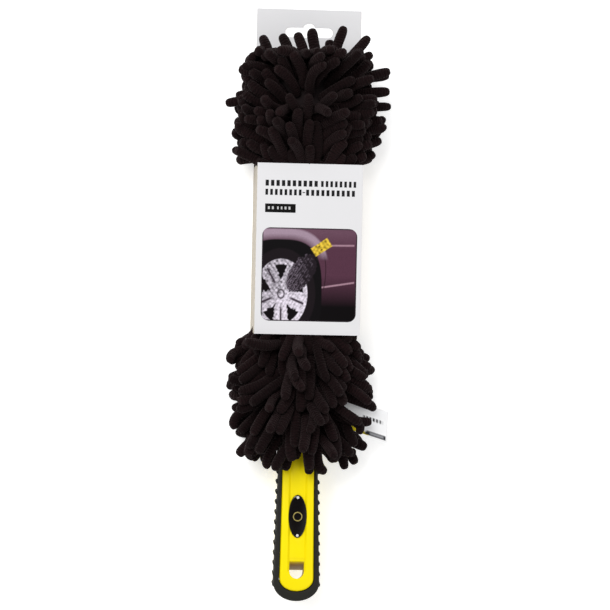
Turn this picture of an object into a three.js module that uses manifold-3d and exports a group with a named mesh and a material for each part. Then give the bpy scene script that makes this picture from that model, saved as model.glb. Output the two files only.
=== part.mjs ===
// Wheel brush with a chenille noodle head, lying on its back in its retail card sleeve.
// Millimetres, +Z up. +Y runs along the brush axis towards the tip of the head, +X to the right.
// The origin is on the back face of the card, under the middle of the sleeve.

import * as THREE from 'three';
import { mergeVertices } from 'three/addons/utils/BufferGeometryUtils.js';
import Module from 'manifold-3d';

const wasm = await Module();
wasm.setup();

// ---------- driving dimensions ----------

const CARD = 0.5; // card thickness
const SLEEVE = { length: 92.4, depth: 45, front: 57.2, back: 59.4, flap: 14 };
const TAB = { top: 136.8, slotMiddle: 123.8, slotWidth: 26.8, slotHeight: 5.5, hump: 7, humpRise: 2.4 };
const AXIS_HEIGHT = SLEEVE.depth / 2;
const GAP = 0.3; // between neighbouring pieces
const BRUSH_OFFSET = { x: -2.75, turn: 0.0033 }; // how the brush sits in its sleeve, in mm and radians

const HEAD = { tip: 106, neck: -92, coverRadius: 17, coverWall: 2.1, domeLength: 12 };
const ROD = { radius: 5, tip: 98, foot: -134 };
const FOAM = { radius: HEAD.coverRadius - HEAD.coverWall - GAP, foot: -90 };
const NECK = { radius: 8, top: -95, mouth: -103.4, coverRadius: 10.4 };
const PILE_INNER = HEAD.coverRadius + GAP;
const PILE_HEIGHT = 0.92; // the pile lies a little lower than it is wide

const GRIP = {
  top: -104.2, widest: -183.2, end: -193.1, halfTop: 10.3, halfWidest: 12.7, depth: 15.4, round: 2.4,
};
const INSERT = {
  top: -112, widest: -180.4, end: -187.4, halfTop: 8.6, halfWidest: 9.4, depth: 16.6, round: 1.6,
};
const CHANNEL = { floor: 8, mouth: 10.4, deep: 1.2, top: -100 };
const RIB = {
  first: -116.6, pitch: 5.62, count: 13, half: 1.25, proudFirst: 1.25, proudLast: 0.6, tall: 10.4,
};
const HOLE = { top: -170.4, end: -180.2, width: 8, corner: 3.9, backTop: -178, backEnd: -184 };
const BADGE = { middle: -146.2, length: 23.4, width: 9.9, thick: 1.3, pocket: 0.55, pinSpacing: 20.8 };
const PIN = { radius: 0.75, clearance: 0.15, length: 5 };
const CROSS_PIN = { radius: 1.5, y: -107.6, length: 15.2, clearance: 0.2 };

const LABEL = { length: 28, width: 16.4, thick: 0.4, turn: -0.32, middle: [35.6, -92.6, 0.8] };

// ---------- solids ----------

/** A closed geometry as a manifold solid. */
function solid(geometry) {
  const bare = geometry.clone();
  bare.deleteAttribute('normal');
  bare.deleteAttribute('uv');
  const merged = mergeVertices(bare, 1e-5);
  return new wasm.Manifold(new wasm.Mesh({
    numProp: 3,
    vertProperties: new Float32Array(merged.attributes.position.array),
    triVerts: new Uint32Array(merged.index.array),
  }));
}

/** A manifold solid as a geometry. */
function geometryOf(body) {
  const mesh = body.getMesh();
  const geometry = new THREE.BufferGeometry();
  geometry.setAttribute('position', new THREE.BufferAttribute(new Float32Array(mesh.vertProperties), 3));
  geometry.setIndex(new THREE.BufferAttribute(new Uint32Array(mesh.triVerts), 1));
  geometry.computeVertexNormals();
  return geometry;
}

/** A flat outline in X and Y made `depth` thick about Z = 0, with its edges rounded by `round`. */
function slab(outline, depth, round = 0, curveSegments = 10) {
  const geometry = new THREE.ExtrudeGeometry(outline, {
    depth: depth - 2 * round,
    bevelEnabled: round > 0,
    bevelThickness: round,
    bevelSize: round,
    bevelOffset: -round,
    bevelSegments: 3,
    curveSegments,
  });
  return geometry.translate(0, 0, round - depth / 2);
}

/** A box from one corner to the other. */
function block(low, high) {
  const size = high.map((value, i) => value - low[i]);
  const middle = high.map((value, i) => (value + low[i]) / 2);
  return new THREE.BoxGeometry(...size).translate(...middle);
}

/** A straight round bar along Y. */
function bar(radius, from, to, segments = 24) {
  return new THREE.CylinderGeometry(radius, radius, to - from, segments).translate(0, (from + to) / 2, 0);
}

/** A profile of [radius, y] points turned about Y. */
function turned(points, segments = 32) {
  const profile = points.map(([radius, y]) => new THREE.Vector2(radius, y));
  return new THREE.LatheGeometry(profile, segments);
}

/** A rectangle with rounded corners, from its middle. */
function roundedRectangle(width, height, radius, y = 0) {
  const x = width / 2 - radius;
  const low = y - height / 2 + radius;
  const high = y + height / 2 - radius;
  const shape = new THREE.Shape();
  shape.absarc(x, low, radius, -Math.PI / 2, 0);
  shape.absarc(x, high, radius, 0, Math.PI / 2);
  shape.absarc(-x, high, radius, Math.PI / 2, Math.PI);
  shape.absarc(-x, low, radius, Math.PI, 1.5 * Math.PI);
  shape.closePath();
  return shape;
}

/** The plan of a grip: straight sides that widen downwards, and half an ellipse at the end. */
function gripOutline({ top, widest, end, halfTop, halfWidest }, grow = 0) {
  const shape = new THREE.Shape();
  shape.moveTo(halfTop + grow, top + grow);
  shape.lineTo(-halfTop - grow, top + grow);
  shape.lineTo(-halfWidest - grow, widest);
  shape.absellipse(0, widest, halfWidest + grow, widest - end + grow, Math.PI, 2 * Math.PI);
  shape.closePath();
  return shape;
}

function part(name, geometry, color, roughness = 0.6, metalness = 0) {
  const mesh = new THREE.Mesh(geometry, new THREE.MeshStandardMaterial({ color, roughness, metalness }));
  mesh.name = name;
  return mesh;
}

const YELLOW = 0xf6e400;
const BLACK_RUBBER = 0x2f2d29;
const GLOSS_BLACK = 0x050506;
const STEEL = 0xb9bcc0;
const MOULDED_BLACK = 0x1c1c1d;
const FOAM_GREY = 0x8c8c88;
const CHENILLE = 0x1d1112;
const CLOTH = 0x191213;
const CARD_WHITE = 0xebeaec;

// ---------- handle ----------

/** The hook hole: square at its upper end, round at its lower end, and slanting down to the back. */
function hookHole() {
  const front = INSERT.depth / 2;
  const radius = HOLE.width / 2;
  const steps = 10;
  const upper = [[radius, 1], [-radius, 1]];
  const lower = [];
  for (let i = 0; i <= steps; i += 1) {
    const angle = Math.PI + (i / steps) * Math.PI;
    lower.push([radius * Math.cos(angle), Math.sin(angle)]);
  }
  // a ring of the hole at any height: the straight upper edge and the round lower end move apart
  const ring = (z) => {
    const share = (front - z) / INSERT.depth;
    const top = HOLE.top + share * (HOLE.backTop - HOLE.top);
    const end = HOLE.end + share * (HOLE.backEnd - HOLE.end);
    const middle = Math.min(top - 0.4, end + HOLE.corner);
    return [
      ...upper.map(([x]) => [x, top, z]),
      ...lower.map(([x, y]) => [x, middle + y * (middle - end), z]),
    ];
  };
  const reach = 2;
  const rings = [ring(-front - reach), ring(front + reach)];
  const count = rings[0].length;
  const points = rings.flat(2);
  const faces = [];
  for (let i = 0; i < count; i += 1) {
    const j = (i + 1) % count;
    faces.push(i, j, count + j, i, count + j, count + i);
  }
  for (let i = 1; i < count - 1; i += 1) {
    faces.push(0, i + 1, i, count, count + i, count + i + 1);
  }
  const geometry = new THREE.BufferGeometry();
  geometry.setAttribute('position', new THREE.Float32BufferAttribute(points, 3));
  geometry.setIndex(faces);
  return solid(geometry);
}

/** The channel along the handle's front, with sloping sides. */
function channelCut() {
  const { floor, mouth, deep } = CHANNEL;
  const front = INSERT.depth / 2;
  const over = 1 + 1 / deep;
  const wide = floor + (mouth - floor) * over;
  const section = new THREE.Shape();
  section.moveTo(-floor / 2, front - deep);
  section.lineTo(floor / 2, front - deep);
  section.lineTo(wide / 2, front + 1);
  section.lineTo(-wide / 2, front + 1);
  section.closePath();
  const foot = HOLE.end + HOLE.corner;
  // the section is drawn in X and Z, so a turn about X lays it along Y
  const cut = slab(section, CHANNEL.top - foot).rotateX(Math.PI / 2);
  return solid(cut.translate(0, (CHANNEL.top + foot) / 2, 0));
}

function handleCore() {
  const front = INSERT.depth / 2;
  const badgePlan = new THREE.Shape();
  const clear = PIN.clearance;
  badgePlan.absellipse(0, BADGE.middle, BADGE.width / 2 + clear, BADGE.length / 2 + clear, 0, 2 * Math.PI);
  const pocketFloor = front - CHANNEL.deep - BADGE.pocket;
  let body = solid(slab(gripOutline(INSERT), INSERT.depth, INSERT.round))
    .add(solid(bar(NECK.radius, INSERT.top - 6, NECK.top, 28)))
    .subtract(channelCut())
    .subtract(solid(slab(badgePlan, 4, 0, 12).translate(0, 0, pocketFloor + 2)))
    .subtract(solid(bar(ROD.radius + GAP, ROD.foot - 1, NECK.top + 1)))
    .subtract(solid(bar(CROSS_PIN.radius + CROSS_PIN.clearance, -12, 12, 16)
      .rotateZ(Math.PI / 2).translate(0, CROSS_PIN.y, 0)))
    .subtract(hookHole());
  for (const side of [-1, 1]) {
    const bore = new THREE.CylinderGeometry(PIN.radius + PIN.clearance, PIN.radius + PIN.clearance, 12, 12);
    bore.rotateX(Math.PI / 2);
    bore.translate(0, BADGE.middle + side * BADGE.pinSpacing / 2, pocketFloor + 6 - PIN.length);
    body = body.subtract(solid(bore));
  }
  return geometryOf(body);
}

function gripOvermould() {
  let body = solid(slab(gripOutline(GRIP), GRIP.depth, GRIP.round));
  const slope = (GRIP.halfWidest - GRIP.halfTop) / (GRIP.top - GRIP.widest);
  for (let i = 0; i < RIB.count; i += 1) {
    const y = RIB.first - i * RIB.pitch;
    const half = GRIP.halfTop + slope * (GRIP.top - y);
    const proud = RIB.proudFirst + (i / (RIB.count - 1)) * (RIB.proudLast - RIB.proudFirst);
    for (const side of [-1, 1]) {
      const plan = new THREE.Shape();
      plan.absellipse(0, 0, proud + 0.5, RIB.half, 0, 2 * Math.PI);
      const rib = slab(plan, RIB.tall, 0.45, 5).translate(side * (half - 0.5), y, 0);
      body = body.add(solid(rib));
    }
  }
  body = body
    .subtract(solid(slab(gripOutline(INSERT, GAP), 2 * GRIP.depth)))
    .subtract(solid(bar(NECK.radius + GAP, INSERT.top - 1, GRIP.top + 1, 28)))
    .subtract(solid(bar(CROSS_PIN.radius + CROSS_PIN.clearance, -12, 12, 16)
      .rotateZ(Math.PI / 2).translate(0, CROSS_PIN.y, 0)));
  return geometryOf(body);
}

function badgePlate() {
  const plan = new THREE.Shape();
  plan.absellipse(0, 0, BADGE.width / 2, BADGE.length / 2, 0, 2 * Math.PI);
  let body = solid(slab(plan, BADGE.thick, 0.4, 16));
  for (const side of [-1, 1]) {
    const bore = bar(PIN.radius + PIN.clearance, -2, 2, 12).rotateX(Math.PI / 2);
    body = body.subtract(solid(bore.translate(0, side * BADGE.pinSpacing / 2, 0)));
  }
  return geometryOf(body);
}

function badgeRing() {
  const ring = new THREE.Shape();
  ring.absarc(0, 0, 2.6, 0, 2 * Math.PI);
  const hole = new THREE.Path();
  hole.absarc(0, 0, 2.05, 0, 2 * Math.PI);
  ring.holes.push(hole);
  return slab(ring, 0.25, 0, 10);
}

// ---------- head ----------

/** The cloth tube of the head: a cup with a domed tip, drawn in around the neck at its open end. */
function coverCup() {
  const { tip, neck, coverRadius: outer, coverWall: wall, domeLength: dome } = HEAD;
  const inner = outer - wall;
  const points = [[0, tip]];
  for (let i = 1; i <= 5; i += 1) {
    const angle = (i / 5) * Math.PI / 2;
    points.push([outer * Math.sin(angle), tip - dome * (1 - Math.cos(angle))]);
  }
  points.push([outer, neck], [NECK.coverRadius, NECK.mouth + 4], [NECK.coverRadius, NECK.mouth]);
  points.push([NECK.radius + GAP, NECK.mouth], [NECK.radius + GAP, NECK.mouth + 4.6], [inner, neck + 1]);
  for (let i = 5; i >= 1; i -= 1) {
    const angle = (i / 5) * Math.PI / 2;
    points.push([inner * Math.sin(angle), tip - wall - (dome - wall) * (1 - Math.cos(angle))]);
  }
  points.push([0, tip - wall]);
  return turned(points.reverse());
}

/** A hollow round piece: an outer and an inner [radius, y] profile, both from low y to high y. */
function ringOf(outer, inner, segments = 32) {
  const closed = [...inner, ...outer.slice().reverse(), inner[0]];
  return turned(closed.reverse(), segments);
}

/** A band of noodle pile: a ring between the cover and a lumpy outer face, pressed flat at `floor`. */
function pileBand({ outer, inner, floor, height = 1, around = 30, lumps = 15, lump = 1.4 }) {
  const stations = outer.length;
  const points = [];
  const ring = (radiusAt, y, rise) => {
    for (let i = 0; i < around; i += 1) {
      const angle = (i / around) * 2 * Math.PI;
      const radius = radiusAt(angle);
      const z = radius * Math.sin(angle) * (Math.sin(angle) > 0 ? rise : 1);
      points.push(radius * Math.cos(angle), y, Math.max(z, floor - AXIS_HEIGHT));
    }
  };
  outer.forEach(([radius, y], row) => {
    const swell = row === 0 || row === stations - 1 ? 0 : lump;
    ring((angle) => radius + swell * Math.cos(lumps * angle + row * Math.PI), y, height);
  });
  inner.slice().reverse().forEach(([radius, y]) => ring(() => radius, y, 1));
  const rows = stations + inner.length;
  const faces = [];
  for (let row = 0; row < rows; row += 1) {
    const next = (row + 1) % rows;
    for (let i = 0; i < around; i += 1) {
      const j = (i + 1) % around;
      const [a, b, c, d] = [row * around + i, row * around + j, next * around + j, next * around + i];
      faces.push(a, c, b, a, d, c);
    }
  }
  const geometry = new THREE.BufferGeometry();
  geometry.setAttribute('position', new THREE.Float32BufferAttribute(points, 3));
  geometry.setIndex(faces);
  geometry.computeVertexNormals();
  return geometry;
}

/** The pile squeezed inside the card: a block that fills the sleeve, with a bore for the turned cover. */
function squeezedPile() {
  const clear = CARD + GAP;
  const low = -SLEEVE.depth / 2 + 2 * CARD + 2 * GAP;
  const high = SLEEVE.depth / 2 - clear;
  const side = (SLEEVE.front + SLEEVE.back) / 4 - clear - 0.7;
  const section = new THREE.Shape();
  section.moveTo(-side, low);
  section.lineTo(side, low);
  section.lineTo(side, high);
  section.lineTo(-side, high);
  section.closePath();
  const hole = new THREE.Path();
  const swing = Math.abs(BRUSH_OFFSET.turn) * SLEEVE.length / 2;
  hole.absarc(BRUSH_OFFSET.x, 0, PILE_INNER + swing, 0, 2 * Math.PI);
  section.holes.push(hole);
  return slab(section, SLEEVE.length - 1, 0, 16).rotateX(Math.PI / 2);
}

/** The domed pile over the tip, a cup that fits over the cover's dome. */
function tipPile() {
  const foot = HEAD.tip - HEAD.domeLength + 0.6;
  const reach = [[0, 120], [13, 119], [24, 114.5], [32, 107], [35, foot]];
  const inside = [[PILE_INNER, foot]];
  for (let i = 4; i >= 0; i -= 1) {
    const angle = (i / 5) * Math.PI / 2;
    inside.push([
      PILE_INNER * Math.sin(angle),
      HEAD.tip + 1 - HEAD.domeLength * (1 - Math.cos(angle)),
    ]);
  }
  const cup = solid(turned([...reach, ...inside].reverse(), 30));
  const above = block([-60, 0, CARD + GAP - AXIS_HEIGHT], [60, 200, 60]);
  return geometryOf(cup.intersect(solid(above)));
}

// ---------- card sleeve ----------

/** A sheet of card bent along a polyline in X and Z: its section, offset by half its thickness. */
function bentSheet(path, thickness) {
  const points = path.map(([x, z]) => new THREE.Vector2(x, z));
  const offset = (side) => points.map((point, i) => {
    const before = points[Math.max(i - 1, 0)];
    const after = points[Math.min(i + 1, points.length - 1)];
    const into = point.clone().sub(i > 0 ? before : point.clone().multiplyScalar(2).sub(after)).normalize();
    const out = (i < points.length - 1 ? after.clone().sub(point) : into.clone()).normalize();
    const normalIn = new THREE.Vector2(-into.y, into.x);
    const normalOut = new THREE.Vector2(-out.y, out.x);
    const mitre = normalIn.clone().add(normalOut).normalize();
    return point.clone().addScaledVector(mitre, side * thickness / 2 / mitre.dot(normalIn));
  });
  return new THREE.Shape([...offset(1), ...offset(-1).reverse()]);
}

/** The card: front, two sides, back with the hang tab and its slot, and a flap glued inside the back. */
function sleeveCard() {
  const half = CARD / 2;
  const back = SLEEVE.back / 2 - half;
  const front = SLEEVE.front / 2 - half;
  const top = SLEEVE.depth - half;
  const flapHeight = 1.5 * CARD + GAP;
  const wrap = bentSheet([
    [back - SLEEVE.flap, flapHeight],
    [back - CARD, flapHeight],
    [front, top],
    [-front, top],
    [-back, half],
    [back, half],
  ], CARD);
  // the section is drawn in X and Z, so a turn about X lays it along Y
  const tube = solid(slab(wrap, SLEEVE.length).rotateX(Math.PI / 2));
  const panel = new THREE.Shape();
  panel.moveTo(-SLEEVE.back / 2 + 0.1, -SLEEVE.length / 2);
  panel.lineTo(SLEEVE.back / 2 - 0.1, -SLEEVE.length / 2);
  panel.lineTo(SLEEVE.back / 2 - 0.1, TAB.top);
  panel.lineTo(-SLEEVE.back / 2 + 0.1, TAB.top);
  panel.closePath();
  const { slotMiddle, slotWidth, slotHeight } = TAB;
  panel.holes.push(roundedRectangle(slotWidth, slotHeight, slotHeight / 2 - 0.01, slotMiddle));
  const hump = new THREE.Shape();
  const humpMiddle = slotMiddle + slotHeight / 2 + TAB.humpRise - TAB.hump / 2;
  hump.absarc(0, humpMiddle, TAB.hump / 2, 0, 2 * Math.PI);
  const body = tube
    .add(solid(slab(panel, CARD).translate(0, 0, half)))
    .subtract(solid(slab(hump, 4, 0, 12)));
  return geometryOf(body);
}

// ---------- the brush ----------

const brush = new THREE.Group();
brush.position.set(BRUSH_OFFSET.x, 0, AXIS_HEIGHT);
brush.rotation.z = BRUSH_OFFSET.turn;

brush.add(part('handle_core', handleCore(), YELLOW, 0.42));
brush.add(part('grip_overmould', gripOvermould(), BLACK_RUBBER, 0.85));

const badge = new THREE.Group();
const badgeFloor = INSERT.depth / 2 - CHANNEL.deep - BADGE.pocket + PIN.clearance;
badge.position.set(0, BADGE.middle, badgeFloor);
const plate = part('badge_plate', badgePlate(), GLOSS_BLACK, 0.12);
plate.position.z = BADGE.thick / 2;
const ring = part('badge_ring', badgeRing(), STEEL, 0.35, 0.8);
ring.position.z = BADGE.thick + 0.05 + 0.125;
badge.add(plate, ring);
for (const [name, side] of [['badge_pin_upper', 1], ['badge_pin_lower', -1]]) {
  const stem = bar(PIN.radius, 0.3 - PIN.length, BADGE.thick + 0.15, 12).rotateX(Math.PI / 2);
  const pin = part(name, stem, STEEL, 0.3, 0.8);
  pin.position.y = side * BADGE.pinSpacing / 2;
  badge.add(pin);
}
brush.add(badge);

const crossBore = bar(CROSS_PIN.radius + CROSS_PIN.clearance, -12, 12, 16)
  .rotateZ(Math.PI / 2).translate(0, CROSS_PIN.y, 0);
const screwBore = bar(1.9, ROD.tip - 13, ROD.tip + 1, 12);
const rod = solid(bar(ROD.radius, ROD.foot, ROD.tip, 24))
  .subtract(solid(crossBore))
  .subtract(solid(screwBore));
brush.add(part('core_rod', geometryOf(rod), MOULDED_BLACK, 0.5));
const crossBar = bar(CROSS_PIN.radius, -CROSS_PIN.length / 2, CROSS_PIN.length / 2, 16);
const crossPin = part('core_pin', crossBar, STEEL, 0.35, 0.9);
crossPin.rotation.z = Math.PI / 2;
crossPin.position.y = CROSS_PIN.y;
brush.add(crossPin);

brush.add(part('foam_body', ringOf(
  [[FOAM.radius, FOAM.foot], [FOAM.radius, ROD.tip - 6], [FOAM.radius - 3, ROD.tip - 1]],
  [[ROD.radius + GAP, FOAM.foot], [ROD.radius + GAP, ROD.tip - 1]],
  28,
), FOAM_GREY, 0.95));
brush.add(part('tip_washer', ringOf(
  [[9, ROD.tip + 0.3], [9, ROD.tip + 1.8]],
  [[2.2, ROD.tip + 0.3], [2.2, ROD.tip + 1.8]],
  24,
), MOULDED_BLACK, 0.5));
brush.add(part('tip_screw', turned([
  [0, ROD.tip - 12], [1.6, ROD.tip - 11], [1.6, ROD.tip + 2.1],
  [3.6, ROD.tip + 2.1], [3.1, ROD.tip + 3.8], [0, ROD.tip + 4.2],
], 16), STEEL, 0.35, 0.9));

brush.add(part('cover_cloth', coverCup(), CLOTH, 0.95));
brush.add(part('neck_elastic', ringOf(
  [[13.4, -102.4], [14, -101], [13.4, -99.6]],
  [[NECK.coverRadius + GAP, -102.4], [NECK.coverRadius + GAP, -99.6]],
  28,
), CLOTH, 0.9));

const tape = slab(roundedRectangle(LABEL.length, LABEL.width, 0.3), LABEL.thick, 0, 2);
const label = part('care_label', tape, 0xf4f4f2, 0.7);
label.rotation.z = LABEL.turn;
label.position.set(...LABEL.middle);

const onCard = CARD + GAP;
const pileEdge = SLEEVE.length / 2 + 1; // clear of the card's ends although the brush is turned
const dome = HEAD.tip - HEAD.domeLength + 0.3;
const PILES = [
  ['pile_upper', {
    outer: [[34, pileEdge], [40, 54], [41.5, 66], [41.5, 78], [39.5, 88], [36.5, dome]],
    inner: [[PILE_INNER, pileEdge], [PILE_INNER, dome]],
    floor: onCard,
    height: PILE_HEIGHT,
  }],
  ['pile_lower', {
    outer: [[36, -96.6], [39.5, -88], [41, -76], [41.5, -64], [38, -54], [33, -pileEdge]],
    inner: [[PILE_INNER, -96.6], [PILE_INNER, -pileEdge]],
    floor: 0,
    height: PILE_HEIGHT,
  }],
  ['pile_neck', {
    outer: [[24, -121], [32, -115], [35, -106], [36, -96.9]],
    inner: [[15, -121], [14.4, -106], [14.4, -96.9]],
    floor: 0,
    height: PILE_HEIGHT,
  }],
];

/** The label's slot through the pile, so that the two stay clear of each other. */
const labelSlot = slab(roundedRectangle(LABEL.length + 2, LABEL.width + 2, 0.3), LABEL.thick + 1, 0, 2)
  .rotateZ(LABEL.turn).translate(...LABEL.middle);
for (const [name, band] of PILES) {
  const geometry = geometryOf(solid(pileBand(band)).subtract(solid(labelSlot)));
  brush.add(part(name, geometry, CHENILLE, 1));
}
brush.add(part('pile_tip', tipPile(), CHENILLE, 1));
brush.add(label);

const squeezed = part('pile_middle', squeezedPile(), CHENILLE, 1);
squeezed.position.z = AXIS_HEIGHT;

// ---------- the card sleeve ----------

const sleeve = new THREE.Group();
sleeve.add(part('sleeve_card', sleeveCard(), CARD_WHITE, 0.55));
const glue = part('glue_strip', block(
  [SLEEVE.back / 2 - SLEEVE.flap + 1, -SLEEVE.length / 2 + 4, CARD + 0.05],
  [SLEEVE.back / 2 - 3, SLEEVE.length / 2 - 4, CARD + GAP - 0.05],
), 0xd9cfae, 0.4);
sleeve.add(glue);

const wheelBrush = new THREE.Group();
wheelBrush.add(brush, squeezed, sleeve);

export default wheelBrush;
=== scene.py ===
"""Looks of a wheel brush in its card sleeve: chenille noodles, moulded handle, printed card and stage.

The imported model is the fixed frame. Everything here is in metres: +Y runs along the brush towards
its tip, +Z out of the card's front. Each operator makes one piece or one group of like pieces.
"""

import math

import bmesh
import bpy
import numpy as np
from bpy.props import FloatProperty, FloatVectorProperty, IntProperty, PointerProperty
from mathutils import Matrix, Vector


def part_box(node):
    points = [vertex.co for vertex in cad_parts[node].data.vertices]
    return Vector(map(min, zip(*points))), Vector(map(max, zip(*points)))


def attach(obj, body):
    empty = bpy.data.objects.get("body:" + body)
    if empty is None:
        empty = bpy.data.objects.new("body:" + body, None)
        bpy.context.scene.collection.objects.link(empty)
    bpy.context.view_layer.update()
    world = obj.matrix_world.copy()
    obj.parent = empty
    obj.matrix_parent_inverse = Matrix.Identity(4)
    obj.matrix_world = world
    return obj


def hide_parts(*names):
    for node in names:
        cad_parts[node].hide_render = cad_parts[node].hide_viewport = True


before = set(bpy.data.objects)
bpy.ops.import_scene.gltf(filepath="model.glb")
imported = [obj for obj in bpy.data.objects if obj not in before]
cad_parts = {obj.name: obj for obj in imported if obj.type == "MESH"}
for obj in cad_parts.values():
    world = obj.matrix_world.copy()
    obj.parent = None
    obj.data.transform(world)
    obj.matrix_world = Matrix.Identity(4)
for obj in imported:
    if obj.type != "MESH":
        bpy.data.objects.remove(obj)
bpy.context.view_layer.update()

bl_info = {
    "name": "Wheel brush",
    "version": (1, 0, 0),
    "blender": (4, 5, 0),
    "location": "View3D > Sidebar > Wheel brush",
    "description": "Builds the visible surfaces and materials of a wheel brush in its card sleeve",
    "category": "Object",
}

MM = 0.001


def corners(node):
    """A CAD node's lowest and highest corner as arrays."""
    low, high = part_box(node)
    return np.array(low), np.array(high)


def middle(node):
    """The middle of a CAD node's box."""
    low, high = corners(node)
    return (low + high) / 2


# ---------- the brush axis and the sleeve, read from the frame ----------

AXIS_FOOT = middle("core_pin")
AXIS_ALONG = middle("tip_screw") - AXIS_FOOT
AXIS_ALONG /= np.linalg.norm(AXIS_ALONG)
AXIS_ORIGIN = AXIS_FOOT - AXIS_ALONG * (AXIS_FOOT[1] / AXIS_ALONG[1])
AXIS_ACROSS = np.array([AXIS_ALONG[1], -AXIS_ALONG[0], 0.0])
BRUSH_BASIS = np.array([AXIS_ACROSS, AXIS_ALONG, [0.0, 0.0, 1.0]])

COVER_LOW, COVER_HIGH = corners("cover_cloth")
COVER_RADIUS = (COVER_HIGH[2] - COVER_LOW[2]) / 2
COVER_DOME = 12 * MM
COVER_SHOULDER = COVER_HIGH[1] - COVER_DOME
NECK_SHOULDER = COVER_LOW[1] + 11.4 * MM

CARD = 0.5 * MM
CARD_LOW, CARD_HIGH = corners("sleeve_card")
SLEEVE_TOP = CARD_HIGH[2]
SLEEVE_HALF_LENGTH = -CARD_LOW[1]
SLEEVE_HALF_BACK = CARD_HIGH[0]
SLEEVE_HALF_FRONT = SLEEVE_HALF_BACK - 1.05 * MM


def from_brush(points):
    """Points along the brush (across, along, up from its axis) as points of the row frame."""
    return AXIS_ORIGIN + points @ BRUSH_BASIS


def axis_x(y):
    """How far to the right the brush axis is at a place along it."""
    return AXIS_ORIGIN[0] + y * AXIS_ALONG[0] / AXIS_ALONG[1]


# ---------- meshes ----------


def new_object(name, mesh, body):
    """An object at the origin that shows a mesh and rides on a body."""
    piece = bpy.data.objects.new(name, mesh)
    bpy.context.scene.collection.objects.link(piece)
    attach(piece, body)
    return piece


def shaded_smooth(mesh, smooth):
    """Makes all faces of a mesh smooth or flat."""
    mesh.polygons.foreach_set("use_smooth", np.full(len(mesh.polygons), smooth))


def new_piece(name, points, faces, body, uv=None, smooth=True, attributes=None):
    """A piece from points and faces, with a uv pair for each corner and attribute rows for each point."""
    mesh = bpy.data.meshes.new(name)
    mesh.from_pydata(np.asarray(points).tolist(), [], [list(map(int, f)) for f in faces])
    shaded_smooth(mesh, smooth)
    if uv is not None:
        mesh.uv_layers.new(name="UVMap").data.foreach_set("uv", np.asarray(uv, np.float32).ravel())
    for key, values in (attributes or {}).items():
        if values.ndim == 2:
            coloured = np.concatenate([values, np.ones((len(values), 1))], 1)
            mesh.attributes.new(key, "FLOAT_COLOR", "POINT").data.foreach_set("color", coloured.ravel())
        else:
            mesh.attributes.new(key, "FLOAT", "POINT").data.foreach_set("value", values)
    mesh.update()
    return new_object(name, mesh, body)


def grid_faces(rows, columns, closed=False):
    """Quads of a grid of rows and columns of points. Closed joins the last column to the first."""
    row, column = np.meshgrid(np.arange(rows - 1), np.arange(columns - (not closed)), indexing="ij")
    beside = (column + 1) % columns
    here = row * columns
    return np.stack([here + column, here + beside, here + columns + beside, here + columns + column],
                    -1).reshape(-1, 4)


def slab_of(top, thickness):
    """Points and faces of a closed slab: a grid of top points, and its border let down by thickness."""
    rows, columns = top.shape[:2]
    index = np.arange(rows * columns).reshape(rows, columns)
    border = np.concatenate([index[0], index[1:, -1], index[-1, -2::-1], index[-2:0:-1, 0]])
    points = top.reshape(-1, 3)
    below = points[border] - [0, 0, thickness]
    near = np.arange(len(border))
    far = (near + 1) % len(border)
    under = len(points) + near
    sides = np.stack([border[far], border[near], under, under[far]], -1)
    faces = [*grid_faces(rows, columns).tolist(), *sides.tolist(), under[::-1].tolist()]
    return np.concatenate([points, below]), faces


def linear(*colour):
    """A colour given from 0 to 255 as it looks on a screen, as linear light."""
    part = np.array(colour) / 255
    return np.where(part < 0.04045, part / 12.92, ((part + 0.055) / 1.055) ** 2.4)


def thickened(piece, thickness, offset):
    """Gives a sheet its thickness: inwards for an offset of -1, to both sides for 0."""
    wall = piece.modifiers.new("Thickness", "SOLIDIFY")
    wall.thickness, wall.offset = thickness, offset


def dress(piece, made):
    """Gives a piece one material in place of what it has."""
    piece.data.materials.clear()
    piece.data.materials.append(made)
    return piece


def dress_node(name, made):
    """Gives a CAD node one material in all of its slots."""
    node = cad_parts[name]
    if not node.material_slots:
        node.data.materials.append(made)
    for place in node.material_slots:
        place.material = made


# ---------- shader building ----------


def put(tree, kind, inputs=None, **settings):
    """A node with its settings, whose inputs are values or sockets to link from."""
    made = tree.nodes.new(kind)
    for key, value in settings.items():
        setattr(made, key, value)
    for key, value in (inputs or {}).items():
        if isinstance(value, bpy.types.NodeSocket):
            tree.links.new(value, made.inputs[key])
        else:
            made.inputs[key].default_value = value
    return made


def mixed(tree, share, first, second, blend="MIX"):
    """The colour socket of a mix of two colours."""
    made = put(tree, "ShaderNodeMix", data_type="RGBA", blend_type=blend)
    for index, value in ((0, share), (6, first), (7, second)):
        if isinstance(value, bpy.types.NodeSocket):
            tree.links.new(value, made.inputs[index])
        else:
            made.inputs[index].default_value = value
    return made.outputs[2]


def sums(tree, operation, first, second):
    """The value socket of one sum on two values or sockets."""
    return put(tree, "ShaderNodeMath", {0: first, 1: second}, operation=operation).outputs[0]


def ranged(tree, value, low, high, new_low, new_high):
    """A value taken from one range into another and held inside it."""
    return put(tree, "ShaderNodeMapRange", {
        "Value": value, "From Min": low, "From Max": high, "To Min": new_low, "To Max": new_high,
    }).outputs["Result"]


def rgba(colour, factor=1.0):
    """A colour with alpha, made darker or lighter by a factor."""
    return (*[min(1.0, part * factor) for part in colour[:3]], 1.0)


def new_material(name, **values):
    """A material and its Principled shader, whose named inputs take the values."""
    made = bpy.data.materials.new(name)
    made.use_nodes = True
    shader = made.node_tree.nodes["Principled BSDF"]
    for key, value in values.items():
        shader.inputs[key.replace("_", " ").title().replace("Ior", "IOR")].default_value = value
    return made, made.node_tree, shader


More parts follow.
